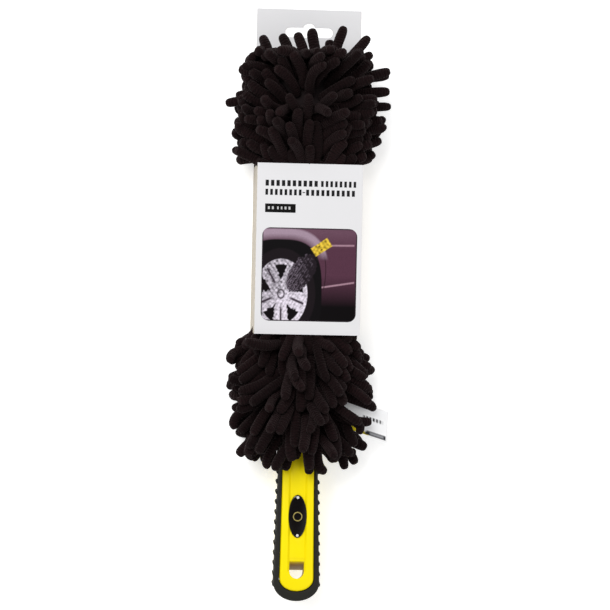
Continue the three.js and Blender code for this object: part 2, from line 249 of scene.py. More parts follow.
def new_group(name, inputs, outputs):
    """An empty shader group with float inputs, given with their values, and float outputs."""
    made = bpy.data.node_groups.new(name, "ShaderNodeTree")
    for key, value in inputs.items():
        socket = made.interface.new_socket(name=key, in_out="INPUT", socket_type="NodeSocketFloat")
        socket.default_value = value
    for key in outputs:
        made.interface.new_socket(name=key, in_out="OUTPUT", socket_type="NodeSocketFloat")
    return made, put(made, "NodeGroupInput"), put(made, "NodeGroupOutput")


def from_group(tree, group, **values):
    """A placed copy of a shader group with its own values."""
    made = put(tree, "ShaderNodeGroup", node_tree=bpy.data.node_groups[group])
    for key, value in values.items():
        made.inputs[key.replace("_", " ").title()].default_value = value
    return made


def build_grain_group():
    """Fine grain and slow mottle in object coordinates, as moulded and coated surfaces have."""
    tree, given, out = new_group("Grain", {"Fine Scale": 3000.0, "Slow Scale": 60.0}, ["Fine", "Slow"])
    place = put(tree, "ShaderNodeTexCoord").outputs["Object"]
    for key, detail in (("Fine", 3.0), ("Slow", 4.0)):
        noise = put(tree, "ShaderNodeTexNoise", {
            "Vector": place, "Scale": given.outputs[f"{key} Scale"], "Detail": detail, "Roughness": 0.6,
        })
        tree.links.new(noise.outputs["Fac"], out.inputs[key])


def build_weave_group():
    """Two crossed waves along the piece's own UV map, as a plain weave."""
    tree, given, out = new_group("Weave", {"Threads": 900.0}, ["Height", "Shade"])
    place = put(tree, "ShaderNodeTexCoord").outputs["UV"]
    split = put(tree, "ShaderNodeSeparateXYZ", {"Vector": place})
    waves = []
    for key in ("X", "Y"):
        turns = sums(tree, "MULTIPLY", split.outputs[key], given.outputs["Threads"])
        waves.append(sums(tree, "SINE", sums(tree, "MULTIPLY", turns, 2 * math.pi), 0.0))
    crossed = sums(tree, "MULTIPLY", waves[0], waves[1])
    tree.links.new(ranged(tree, crossed, -1.0, 1.0, 0.0, 1.0), out.inputs["Height"])
    noise = put(tree, "ShaderNodeTexNoise", {"Vector": place, "Scale": 160.0, "Detail": 3.0})
    tree.links.new(noise.outputs["Fac"], out.inputs["Shade"])


def build_ridge_group():
    """The tufts of chenille yarn: rings across the noodle, broken into tufts and blurred by fuzz."""
    tree, given, out = new_group(
        "Chenille ridges", {"Rings": 650.0, "Tufts": 9.0, "Fuzz Scale": 2600.0}, ["Height", "Fuzz"]
    )
    place = put(tree, "ShaderNodeTexCoord")
    split = put(tree, "ShaderNodeSeparateXYZ", {"Vector": place.outputs["UV"]})
    bend = put(tree, "ShaderNodeTexNoise", {
        "Vector": place.outputs["Object"], "Scale": 420.0, "Detail": 2.0,
    }).outputs["Fac"]
    rings = sums(tree, "MULTIPLY", split.outputs["Y"], given.outputs["Rings"])
    rings = sums(tree, "ADD", rings, sums(tree, "MULTIPLY", bend, 1.5))
    around = sums(tree, "MULTIPLY", split.outputs["X"], given.outputs["Tufts"])
    tufts = put(tree, "ShaderNodeTexVoronoi", {
        "Vector": put(tree, "ShaderNodeCombineXYZ", {"X": around, "Y": rings}).outputs[0],
        "Scale": 1.0, "Randomness": 0.55,
    }, voronoi_dimensions="2D").outputs["Distance"]
    wave = sums(tree, "SINE", sums(tree, "MULTIPLY", rings, 2 * math.pi), 0.0)
    fuzz = put(tree, "ShaderNodeTexNoise", {
        "Vector": place.outputs["Object"], "Scale": given.outputs["Fuzz Scale"], "Detail": 3.0,
        "Roughness": 0.7,
    }).outputs["Fac"]
    height = sums(tree, "ADD", sums(tree, "MULTIPLY", wave, 0.24), sums(tree, "MULTIPLY", tufts, -0.7))
    height = sums(tree, "ADD", height, sums(tree, "MULTIPLY", fuzz, 0.5))
    tree.links.new(ranged(tree, height, -0.6, 0.6, 0.0, 1.0), out.inputs["Height"])
    tree.links.new(fuzz, out.inputs["Fuzz"])


def wire(tree, shader, colour, height, strength, distance, rough=None):
    """Feeds the shader a colour, a height through a Bump node and, where it varies, a roughness."""
    relief = put(tree, "ShaderNodeBump", {"Height": height, "Strength": strength, "Distance": distance})
    tree.links.new(colour, shader.inputs["Base Color"])
    tree.links.new(relief.outputs["Normal"], shader.inputs["Normal"])
    if rough is not None:
        tree.links.new(rough, shader.inputs["Roughness"])


def chenille_material(name, colour):
    """Soft dark yarn: tufted rings with painted shade in the hollows between the tufts, which leaves the
    tufts' ends lighter, and a velvet sheen.
    """
    made, tree, shader = new_material(
        name, roughness=0.92, sheen_weight=0.06, sheen_roughness=0.5, specular_ior_level=0.08
    )
    shader.inputs["Sheen Tint"].default_value = rgba((0.6, 0.45, 0.45))
    ridges = from_group(tree, "Chenille ridges")
    own = put(tree, "ShaderNodeAttribute", attribute_name="shade").outputs["Fac"]
    tone = mixed(tree, own, rgba(colour, 0.72), rgba(colour, 1.45))
    # painted shade: the yarn's colour darkens to about a third where the ridges' height is low, in the
    # hollows between tufts
    lit = mixed(tree, ridges.outputs["Height"], rgba(colour, 0.35), tone)
    rough = ranged(tree, ridges.outputs["Fuzz"], 0.3, 0.7, 0.82, 1.0)
    wire(tree, shader, lit, ridges.outputs["Height"], 0.9, 0.8 * MM, rough)
    return made


def cloth_material(name, colour, threads):
    """Woven cloth along the piece's UV map, which is in metres, with threads for each metre, and painted
    shade in the hollows between the threads.
    """
    made, tree, shader = new_material(name, roughness=0.9, sheen_weight=0.2, specular_ior_level=0.25)
    weave = from_group(tree, "Weave", threads=threads)
    tone = mixed(tree, weave.outputs["Shade"], rgba(colour, 0.8), rgba(colour, 1.2))
    # painted shade: the cloth is darker where the weave's height is low, between the threads
    lit = mixed(tree, weave.outputs["Height"], rgba(colour, 0.7), tone)
    wire(tree, shader, lit, weave.outputs["Height"], 0.4, 0.1 * MM)
    return made


def moulded_material(name, colour, roughness=0.4, grain=0.12, fine=2600.0, mottle=0.06, **values):
    """Moulded plastic or rubber: an even colour with slow mottle and a fine grain in its gloss."""
    made, tree, shader = new_material(name, roughness=roughness, **values)
    spots = from_group(tree, "Grain", fine_scale=fine, slow_scale=90.0)
    tone = mixed(tree, spots.outputs["Slow"], rgba(colour, 1 - mottle), rgba(colour, 1 + mottle))
    rough = ranged(tree, spots.outputs["Fine"], 0.25, 0.75, roughness - 0.08, min(1.0, roughness + 0.1))
    wire(tree, shader, tone, spots.outputs["Fine"], grain, 0.05 * MM, rough)
    return made


def wire_paper(tree, shader, colour, slow_scale, dull, strength):
    """Feeds the shader a colour that paper fibre dulls a little, with a fine relief."""
    spots = from_group(tree, "Grain", fine_scale=5200.0, slow_scale=slow_scale)
    worn = mixed(tree, spots.outputs["Slow"], rgba(dull), (1.0, 1.0, 1.0, 1.0))
    worn = mixed(tree, 1.0, colour, worn, "MULTIPLY")
    wire(tree, shader, worn, spots.outputs["Fine"], strength, 0.03 * MM)


# ---------- sizes and colours that a user would change ----------


def length_setting(name, description, default):
    """A length in metres."""
    return FloatProperty(
        name=name, description=description, default=default, unit="LENGTH", subtype="DISTANCE",
    )


def colour_setting(name, description, default):
    """A colour in linear light."""
    return FloatVectorProperty(
        name=name, description=description, default=default, subtype="COLOR", size=3,
    )


class NoodleSettings(bpy.types.PropertyGroup):
    length: length_setting("Length", "Length of a noodle from its root to its tip", 27 * MM)
    thickness: length_setting("Thickness", "Diameter of a noodle", 5.6 * MM)
    row_pitch: length_setting("Row pitch", "Distance between rows of noodles along the head", 6.3 * MM)
    per_row: IntProperty(name="Per row", description="Noodles in one row around the head", default=17)
    seed: IntProperty(name="Seed", description="Start of the random lengths and leans", default=7)
    colour: colour_setting("Colour", "Colour of the chenille yarn", (0.0108, 0.0043, 0.0047))


class HandleSettings(bpy.types.PropertyGroup):
    colour: colour_setting("Handle colour", "Colour of the moulded handle", (0.93, 0.755, 0.0))
    rim_colour: colour_setting("Rim colour", "Colour of the soft rubber rim", (0.0165, 0.0162, 0.013))


class CardSettings(bpy.types.PropertyGroup):
    front_colour: colour_setting("Front colour", "Colour of the coated card", (0.715, 0.71, 0.725))
    side_colour: colour_setting("Side colour", "Colour of the sleeve's sides", (0.37, 0.315, 0.225))


class StageSettings(bpy.types.PropertyGroup):
    floor_colour: colour_setting("Floor colour", "Colour of the floor", (0.93, 0.93, 0.93))
    glow: FloatProperty(name="Glow", description="How far the floor is lit from below", default=0.42)
    light: FloatProperty(name="Light", description="Strength of the sky", default=0.6)


# ---------- label ----------

LABEL_ROOT = np.array([16.5, -87.0, 24.0]) * MM
LABEL_TIP = np.array([47.3, -97.0, 15.0]) * MM
LABEL_WIDTH = 17.4 * MM
LABEL_LEG = 34 * MM  # the tape is two legs long
LABEL_ACROSS = np.array([-1.1, -16.4, 5.0]) * MM  # from the upper edge to the lower one, at the tip


def label_share(x, y):
    """Where a place lies over the label: its share of the length and of the width."""
    ahead = LABEL_TIP - LABEL_ROOT
    area = ahead[0] * LABEL_ACROSS[1] - ahead[1] * LABEL_ACROSS[0]
    dx, dy = x - LABEL_ROOT[0], y - LABEL_ROOT[1]
    along = (dx * LABEL_ACROSS[1] - dy * LABEL_ACROSS[0]) / area
    down = (ahead[0] * dy - ahead[1] * dx) / area
    return along, down + 0.5


def label_height(x, y):
    """The label's height over a place: level at its root and drooping to its tip."""
    along, down = label_share(x, y)
    drop = LABEL_TIP[2] - LABEL_ROOT[2]
    return LABEL_ROOT[2] + drop * np.clip(along, 0, 1.2) ** 2 + LABEL_ACROSS[2] * (down - 0.5) * along


# ---------- noodles ----------

NOODLE_POINTS = 7
NOODLE_SIDES = 6
RING_PLACES = np.array([0.0, 0.13, 0.28, 0.43, 0.58, 0.73, 0.88, 0.958, 1.0])
RING_WIDTHS = np.array([0.85, 1.0, 1.0, 1.0, 1.0, 1.02, 1.0, 0.84, 0.46])
HEXAGON_SWELL = 1.2  # a subdivided hexagon is this much narrower than its corners
UNEVEN_LENGTH, UNEVEN_WIDTH, LUMPS = 0.07, 0.045, 0.055  # as shares

# rows of roots: past the first place the card doesn't hide them, past the second they are closer
SHOWN_FROM = 38 * MM
CROWDED_FROM = 77 * MM
CROWDING = 0.84
LAST_ROW = 99.5 * MM  # towards the handle
HIDDEN_ROWS = 9
DOME_RINGS = ((82, 17), (62, 14), (42, 10), (20, 5))  # degrees from the tip, noodles in the ring
ROOT_DEPTH = 0.3 * MM
ROOT_SCATTER = (0.06, 0.8 * MM)  # around, as an angle, and along

# how noodles settle: how often, how far they sink in a turn, and what share of a fault is put right
SETTLE_TURNS = 200
NEIGHBOUR_TURNS = 8  # how often the pairs that are close are looked up again
SINK = 0.04 * MM
STRAIGHTEN = 0.2
BOW = 0.35
PUSH = 0.4
PULL = 0.5
CLOSEST = 0.96  # noodles come this close, as a share of their thickness
LABEL_CLEAR = 0.6 * MM
CARD_CLEAR = 1.2 * CARD
TINY = 1e-6
HANDLE_HALF_WIDTH = 12.2 * MM
HANDLE_HALF_DEPTH = 8.4 * MM
CROSSED_UP_TO = 18 * MM  # this near to the card's middle the noodles lean both ways
CROSSED_LEAN = 3.2

# where along the head a noodle leans how far (tangent of its angle, towards the tip): on the side
# that faces up, and on the two sides
LEANS = np.array([
    [-99, -1.8, -1.4], [-88, -1.2, -0.7], [-78, -0.85, -0.35], [-66, -0.7, -0.15], [-54, -0.6, -0.05],
    [-47, -0.9, -0.02], [-44, -3.0, -3.0], [-8, -3.5, -3.5], [8, 3.5, 3.5], [44, 3.0, 3.0],
    [47, 1.2, 0.02], [56, 0.75, 0.03], [66, 0.15, 0.08], [78, 0.0, 0.15], [82, 0.35, 0.35],
    [88, 1.1, 0.6], [94, 1.8, 1.3],
])

# where along the head, in mm, the noodles have which share of their length, and which sideways lean
SHORTER = np.array([[-101, 0.82], [-90, 1], [94, 1], [99, 0.92], [103, 0.8], [106, 0.62]])
SPREAD = np.array([[46, 0], [56, 0.4], [66, 0.9], [74, 0.5], [82, 0.25], [90, 0]])

# the pile's outer edge in mm: along the head, how far it reaches to the left and to the right
OUTLINE = np.array([
    [-122, -13, 13], [-119, -20, 26], [-116, -30, 32], [-110, -36.5, 35.3], [-106, -37, 36],
    [-103, -37.6, 34.5], [-99.8, -38.2, 31.8], [-96.5, -38.8, 36], [-90, -41.5, 38.3],
    [-83, -41, 42], [-76, -42.5, 41], [-68, -43, 42], [-60, -42.8, 40.5], [-53, -38.5, 36.5],
    [-46.5, -33, 35], [46.5, -39.2, 39.5], [53, -41.5, 42], [60, -43, 42.5], [67, -41.3, 41],
    [74, -39, 42.5], [80, -40.5, 43.8], [86, -38, 41], [92, -35, 40], [98, -37.5, 38],
    [104, -35, 36], [109, -30.5, 33], [113, -29, 32],
])

# where the tips of some noodles end, and about where they are rooted, in mm across, along and up
PLACED_TIPS = np.array([
    [-27.2, 117.0, 27, -14, 96, 31], [-16.7, 117.4, 32, -10, 95, 36], [-8.4, 118.2, 33, -4, 96, 38],
    [-0.3, 120.2, 36, 1, 97, 38], [9.8, 116.2, 28, 7, 98, 31], [17.6, 122.2, 32, 9, 99, 34],
    [31.6, 118.2, 25, 14, 97, 27], [34.0, 109.4, 22, 14, 94, 23], [46.4, 100.5, 25, 16, 90, 24],
    [44.0, 98.5, 19, 15, 91, 17], [-45.9, 80.0, 24, -20, 81, 23], [-40.5, 83.5, 29, -19, 82, 28],
    [-38.9, 99.2, 22, -18, 92, 24], [43.6, 89.0, 22, 15, 86, 23], [44.3, 80.5, 26, 15, 80, 25],
    [-35.2, -113.6, 22, -16, -96, 22], [-27.4, -116.4, 20, -14, -97, 20],
    [-16.8, -119.6, 24, -13, -97, 29], [-10.2, -120.6, 35, -9, -97, 36],
    [-5.2, -114.5, 38, -4, -93, 40], [2.8, -122.0, 36, 3, -98, 38], [10.9, -122.9, 30, 10, -98, 31],
    [23.9, -120.0, 24, 12, -97, 26], [30.0, -117.6, 19, 13, -96, 18], [35.3, -108.4, 22, 13, -99, 24],
    [18.5, -117.0, 18, 11, -97, 16], [-21.0, -113.0, 29, -14, -93, 31], [37.4, -93.6, 29, 15, -86, 29],
]).reshape(-1, 2, 3) * MM


def cover_radius(y):
    """The cover's radius along the brush: a tube that is drawn in at the neck."""
    places = COVER_LOW[1] + np.array([-1.0, 0.0, 4.0, 11.4]) * MM
    return np.interp(y, places, np.array([8.5, 14.2, 14.2, COVER_RADIUS / MM]) * MM)


def tube_rings(noodles):
    """Rows of roots along the tube: close where they show, and wider and thinner under the card."""
    outer = np.concatenate([
        np.arange(SHOWN_FROM, CROWDED_FROM - 1 * MM, noodles.row_pitch),
        np.arange(CROWDED_FROM, COVER_SHOULDER - 1 * MM, CROWDING * noodles.row_pitch),
    ])
    lower = -np.append(np.arange(SHOWN_FROM, LAST_ROW - 3.5 * MM, noodles.row_pitch), LAST_ROW)
    inner = np.linspace(-SHOWN_FROM, SHOWN_FROM, HIDDEN_ROWS + 2)[1:-1]
    rows = np.concatenate([lower[::-1], inner, outer])
    count = np.where(np.abs(rows) < SHOWN_FROM - 1 * MM, noodles.per_row - 3, noodles.per_row)
    y = np.repeat(rows, count)
    place = np.arange(len(y)) - np.repeat(np.cumsum(count) - count, count)
    turn = (place + 0.5 * np.repeat(np.arange(len(rows)) % 2, count)) / np.repeat(count, count)
    return y, 2 * math.pi * turn


def sown_roots(noodles, random):
    """Roots and outward directions in staggered rings on the tube, then in rings on its dome.

    On the tube a root is at (r cos a, y, r sin a), looking out along (cos a, 0, sin a). On the dome,
    half an ellipse, the angle from the tip sets both, and the direction is the ellipse's normal.
    """
    y, angle = tube_rings(noodles)
    angle = angle + random.normal(0, ROOT_SCATTER[0], len(y))
    y = y + random.normal(0, ROOT_SCATTER[1], len(y))
    tube_out = np.stack([np.cos(angle), 0 * angle, np.sin(angle)], 1)
    tube = tube_out * (cover_radius(y) - ROOT_DEPTH)[:, None] + np.stack([0 * y, y, 0 * y], 1)
    steep = np.concatenate([np.full(n, math.radians(a)) for a, n in DOME_RINGS])
    angle = np.concatenate([2 * math.pi * (np.arange(n) + 0.3 * n % 1) / n for a, n in DOME_RINGS])
    ring = np.sin(steep)
    dome = np.stack([
        COVER_RADIUS * ring * np.cos(angle),
        COVER_SHOULDER + COVER_DOME * np.cos(steep),
        COVER_RADIUS * ring * np.sin(angle),
    ], 1)
    dome_out = (dome - [0, COVER_SHOULDER, 0]) / np.array([COVER_RADIUS, COVER_DOME, COVER_RADIUS]) ** 2
    dome_out /= np.linalg.norm(dome_out, axis=1, keepdims=True)
    return np.concatenate([tube, dome]), np.concatenate([tube_out, dome_out])


def lean_along(y, up):
    """How far a noodle leans along the brush, mixed by how far it faces up from the two tables."""
    places, top, side = LEANS.T
    facing = np.clip(up, 0, 1) ** 1.5
    return np.interp(y / MM, places, top) * facing + np.interp(y / MM, places, side) * (1 - facing)


def tips_given(roots):
    """The number of the root that each placed tip takes: the nearest to its place that is free."""
    apart = np.linalg.norm(PLACED_TIPS[:, 1, None] - roots[None], axis=2)
    taken = []
    for row in apart:
        row[taken] = np.inf
        taken.append(int(np.argmin(row)))
    return np.array(taken)


def pairs_within(points, owner, reach, block=600):
    """Pairs of points of different noodles that are closer than reach, found block by block."""
    squares = (points ** 2).sum(1)
    firsts, seconds = [], []
    for start in range(0, len(points), block):
        part = points[start:start + block]
        apart = squares[start:start + block, None] + squares[None] - 2 * part @ points.T
        i, j = np.nonzero(apart < reach ** 2)
        keep = (i + start < j) & (owner[i + start] != owner[j])
        firsts.append(i[keep] + start)
        seconds.append(j[keep])
    return np.concatenate(firsts), np.concatenate(seconds)


def push_apart(points, pairs, gap):
    """Moves the points of each pair that is too close apart, both by the same share."""
    first, second = pairs
    between = points[first] - points[second]
    apart = np.maximum(np.linalg.norm(between, axis=1), TINY)
    push = between * (PUSH * np.maximum(gap - apart, 0) / apart)[:, None]
    for axis in range(3):
        points[:, axis] += np.bincount(first, push[:, axis], len(points))
        points[:, axis] -= np.bincount(second, push[:, axis], len(points))


def keep_off_label(chains, radius):
    """Lifts or lowers noodle points off the label, to the side of it that their root is on."""
    over = np.where(chains[:, :1, 2] > label_height(*chains[:, :1, :2].T).T, 1.0, -1.0)
    along, down = label_share(chains[:, 1:, 0], chains[:, 1:, 1])
    margin = radius / LABEL_WIDTH
    near = (along > 0.2) & (along < 1 + margin) & (down > -margin) & (down < 1 + margin)
    gap = chains[:, 1:, 2] - label_height(chains[:, 1:, 0], chains[:, 1:, 1])
    short = np.maximum(radius + LABEL_CLEAR - gap * over, 0)
    chains[:, 1:, 2] += np.where(near, over * short, 0)


def keep_out(chains, under_card, radius):
    """Keeps noodle points off the cover, handle, card and floor, each by the noodle's radius."""
    x, y, z = (chains[:, 1:, k] for k in range(3))
    side = x - axis_x(y)
    up = z - AXIS_ORIGIN[2]
    # the tube: the distance from the axis is at least the cover's radius and a noodle's
    away = np.maximum(np.hypot(side, up), TINY)
    past = np.maximum(y - COVER_SHOULDER, 0) / COVER_DOME
    wall = cover_radius(y) * np.sqrt(np.maximum(1 - past ** 2, 0)) + radius * 0.9
    grow = np.where((past < 1) & (away < wall), wall / away, 1.0)
    side, up = side * grow, up * grow
    # the handle: a box around the axis below the cover
    wide, tall = HANDLE_HALF_WIDTH + radius, HANDLE_HALF_DEPTH + radius
    inside = (y < COVER_LOW[1]) & (np.abs(side) < wide) & (np.abs(up) < tall)
    flatter = (tall - np.abs(up)) < (wide - np.abs(side))
    up = np.where(inside & flatter, np.where(up < 0, -tall, tall), up)
    side = np.where(inside & ~flatter, np.where(side < 0, -wide, wide), side)
    x, z = side + axis_x(y), up + AXIS_ORIGIN[2]
    # the card: inside it for what grows under it, past its ends for what grows outside
    held = under_card[:, None] & (np.abs(y) < SLEEVE_HALF_LENGTH + 1.2 * MM)
    slope = (SLEEVE_HALF_BACK - SLEEVE_HALF_FRONT) * (1 - z / SLEEVE_TOP)
    half = SLEEVE_HALF_FRONT + slope - CARD_CLEAR - radius
    x = np.where(held, np.clip(x, -half, half), x)
    z = np.where(held, np.clip(z, 3 * CARD + radius, SLEEVE_TOP - CARD_CLEAR - radius), z)
    end = SLEEVE_HALF_LENGTH + radius + np.where(z > SLEEVE_TOP - 2 * radius, 1.3, 0.3) * MM
    outside = ~under_card[:, None] & (np.abs(y) < end)
    rising = under_card[:, None] & (np.abs(y) > SLEEVE_HALF_LENGTH) & (np.abs(y) < end)
    outside |= rising & (z > SLEEVE_TOP - radius)
    y = np.where(outside, np.sign(chains[:, :1, 1]) * end, y)
    # the floor, and the back of the card that lies on it
    on_card = (y > -SLEEVE_HALF_LENGTH) & (np.abs(x) < SLEEVE_HALF_BACK + radius)
    z = np.maximum(z, radius + np.where(on_card, CARD + 0.1 * MM, 0.0))
    chains[:, 1:] = np.stack([x, y, z], 2)


def draw_in(chains, slack, radius):
    """Draws noodle points in to the pile's outline, each noodle with a slack of its own."""
    x, y = chains[:, 1:, 0], chains[:, 1:, 1]
    places, left, right = OUTLINE.T * MM
    low = np.interp(y, places, left) + radius - slack[:, None]
    high = np.interp(y, places, right) - radius + slack[:, None]
    chains[:, 1:, 0] += PULL * (np.clip(x, low, high) - x)
    end = np.clip(y, places[0] + 3 * MM - slack[:, None], places[-1] - 7.5 * MM + 1.5 * slack[:, None])
    chains[:, 1:, 1] += PULL * (end - y)


def aims(roots, out, random):
    """Directions from the roots: outwards, with a lean along the brush and one aside, a bit uneven."""
    lean = np.zeros_like(out)
    lean[:, 1] = lean_along(roots[:, 1], out[:, 2]) * (1 - np.abs(out[:, 1]))
    # under the card's middle they lean both ways, so that no parting opens
    crossed = np.abs(roots[:, 1]) < CROSSED_UP_TO
    lean[crossed, 1] = CROSSED_LEAN * np.sign(random.normal(size=crossed.sum()))
    side = np.sign(out[:, 0] + random.normal(0, 0.25, len(roots)))
    aside = side * np.interp(roots[:, 1] / MM, *SPREAD.T) * random.uniform(0.0, 1.3, len(roots))
    lean[:, 0] = aside * np.clip(out[:, 2], 0, 1)
    aim = out + lean + random.normal(0, 0.2, out.shape)
    return aim / np.linalg.norm(aim, axis=1, keepdims=True)


def settled(roots, out, length, radius, random):
    """Noodles as chains of points, settled by weight, by their neighbours and by what they touch.

    A noodle with a placed tip is made as long as it needs and is drawn to a bowed line to it.

    Each turn adds a little weight, straightens the chain, parts points of different noodles that
    are closer than a thickness, keeps them off the solids and restores each link's length.
    """
    count = len(roots)
    aim = aims(roots, out, random) @ BRUSH_BASIS
    roots = from_brush(roots)
    placed = tips_given(roots)
    toward = PLACED_TIPS[:, 0] - roots[placed]
    places = np.linspace(0, 1, NOODLE_POINTS)[None, :, None]
    ways = roots[placed, None] + toward[:, None] * places
    ways += np.sin(math.pi * places) * random.normal(0, 0.9 * MM, (len(placed), 1, 3))
    far = np.linalg.norm(toward, axis=1)
    aim[placed] = toward / far[:, None]
    length[placed] = np.clip(far * 1.03, 15 * MM, 33 * MM)
    # how far each noodle may stand out of the outline, which placed ones hardly feel
    slack = random.uniform(-1.0, 1.6, count) * MM
    slack[placed] = 14 * MM
    link = (length / (NOODLE_POINTS - 1))[:, None]
    reach = np.arange(NOODLE_POINTS)[None, :, None] * link[:, None]
    bow = random.normal(0, 1.0, (count, 3)) * MM
    chains = roots[:, None] + aim[:, None] * reach
    under_card = np.abs(roots[:, 1]) < SLEEVE_HALF_LENGTH - 0.5 * MM
    owner = np.repeat(np.arange(count), NOODLE_POINTS - 1)
    for turn in range(SETTLE_TURNS):
        chains[:, 1:, 2] -= SINK
        bend = 2 * chains[:, 1:-1] - chains[:, :-2] - chains[:, 2:] + BOW * bow[:, None]
        chains[:, 2:] += STRAIGHTEN * bend
        points = chains[:, 1:].reshape(-1, 3)
        if turn % NEIGHBOUR_TURNS == 0:
            pairs = pairs_within(points, owner, 2 * radius + 3 * MM)
        push_apart(points, pairs, 2 * radius * CLOSEST)
        chains[:, 1:] = points.reshape(count, -1, 3)
        draw_in(chains, slack, radius)
        chains[placed] += PULL * (ways - chains[placed])
        keep_out(chains, under_card, radius)
        keep_off_label(chains, radius)
        # a noodle leaves its root along its aim, firmly at first
        firm = max(0.15, 0.6 - turn / SETTLE_TURNS)
        chains[:, 1] += firm * (roots + aim * link - chains[:, 1])
        for k in range(1, NOODLE_POINTS):
            step = chains[:, k] - chains[:, k - 1]
            size = np.maximum(np.linalg.norm(step, axis=1, keepdims=True), TINY)
            chains[:, k] = chains[:, k - 1] + step * link / size
    keep_out(chains, under_card, radius)
    return chains


def along_chain(chains, places):
    """Points of a Catmull-Rom curve through each chain, at places from 0 to 1 along it."""
    last = NOODLE_POINTS - 1
    padded = np.concatenate([
        2 * chains[:, :1] - chains[:, 1:2], chains, 2 * chains[:, -1:] - chains[:, -2:-1],
    ], 1)
    first = np.minimum((places * last).astype(int), last - 1)
    t = (places * last - first)[None, :, None]
    a, b, c, d = (padded[:, first + k] for k in range(4))
    return 0.5 * (2 * b + (c - a) * t + (2 * a - 5 * b + 4 * c - d) * t ** 2
                  + (3 * b - a - 3 * c + d) * t ** 3)


def noodle_surface(chains, width, length, lumps):
    """Tubes around the chains: ring k is centre + width * lump * (cos a * across + sin a * over).

    Each ring has NOODLE_SIDES points, across and over are at right angles to the curve, the rings
    narrow towards the rounded tip, and one flat face closes each end.
    """
    count, rings, sides = len(chains), len(RING_PLACES), NOODLE_SIDES
    centre = along_chain(chains, RING_PLACES)
    ahead = np.gradient(centre, axis=1)
    ahead /= np.linalg.norm(ahead, axis=2, keepdims=True)
    whole = chains[:, -1] - chains[:, 0]
    steady = np.eye(3)[np.argmin(np.abs(whole), axis=1)][:, None]
    across = np.cross(ahead, steady)
    across /= np.linalg.norm(across, axis=2, keepdims=True)
    over = np.cross(ahead, across)
    turn = 2 * math.pi * np.arange(sides) / sides
    wide = (RING_WIDTHS[None] * width[:, None] * HEXAGON_SWELL)[:, :, None, None] * lumps[..., None]
    around = (np.cos(turn)[:, None] * across[:, :, None] + np.sin(turn)[:, None] * over[:, :, None])
    points = centre[:, :, None] + wide * around
    first = (np.arange(count) * rings * sides)[:, None]
    near = np.arange(sides)
    quads = (first[:, None] + grid_faces(rings, sides, closed=True)).reshape(-1, 4)
    roots = first + near[::-1]
    tips = first + (rings - 1) * sides + near
    down = (RING_PLACES * length[:, None])[:, :, None]
    shape = (count, rings - 1, sides)
    u = [np.broadcast_to(k / sides, shape) for k in (near, near + 1, near + 1, near)]
    v = [np.broadcast_to(k, shape) for k in (down[:, :-1], down[:, :-1], down[:, 1:], down[:, 1:])]
    uv = np.stack([np.stack(u, -1), np.stack(v, -1)], -1).reshape(-1, 2)
    caps = np.stack([np.tile(near / sides, 2 * count), np.repeat([0.0, length.mean()], count * sides)], 1)
    faces = [*quads.tolist(), *roots.tolist(), *tips.tolist()]
    return points.reshape(-1, 3), faces, np.concatenate([uv, caps])


class WHEELBRUSH_OT_noodles(bpy.types.Operator):
    """Grow, settle and skin the chenille noodles, in one piece for each band of the head"""

    bl_idname = "wheel_brush.noodles"
    bl_label = "Chenille noodles"

    def execute(self, context):
        noodles = context.scene.wheel_brush_noodles
        random = np.random.default_rng(noodles.seed)
        roots, out = sown_roots(noodles, random)
        length = noodles.length * random.normal(1, UNEVEN_LENGTH, len(roots))
        length *= np.interp(roots[:, 1] / MM, *SHORTER.T)
        width = noodles.thickness / 2 * random.normal(1, UNEVEN_WIDTH, len(roots))
        chains = settled(roots, out, length, noodles.thickness / 2, random)
        shade = random.random(len(roots))
        yarn = chenille_material("chenille_yarn", noodles.colour)
        card = SLEEVE_HALF_LENGTH
        edges = (-1.0, -84 * MM, -card, card, COVER_SHOULDER - 4 * MM, 1.0)
        for band, low, high in zip(("neck", "lower", "middle", "upper", "tip"), edges, edges[1:]):
            chosen = (roots[:, 1] >= low) & (roots[:, 1] < high)
            lumps = random.normal(1, LUMPS, (chosen.sum(), len(RING_PLACES), NOODLE_SIDES))
            points, faces, uv = noodle_surface(chains[chosen], width[chosen], length[chosen], lumps)
            own = np.repeat(shade[chosen], len(RING_PLACES) * NOODLE_SIDES)
            piece = new_piece(f"noodles_{band}", points, faces, "brush", uv,
                              attributes={"shade": own})
            smoothing = dress(piece, yarn).modifiers.new("Subdivision", "SUBSURF")
            smoothing.levels = smoothing.render_levels = 1
            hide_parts(f"pile_{band}")
        return {"FINISHED"}


# ---------- the head's cloth and what is inside it ----------

COVER_WALL = 2.1 * MM  # as in the CAD, with its lining
COVER_COLUMNS = 56


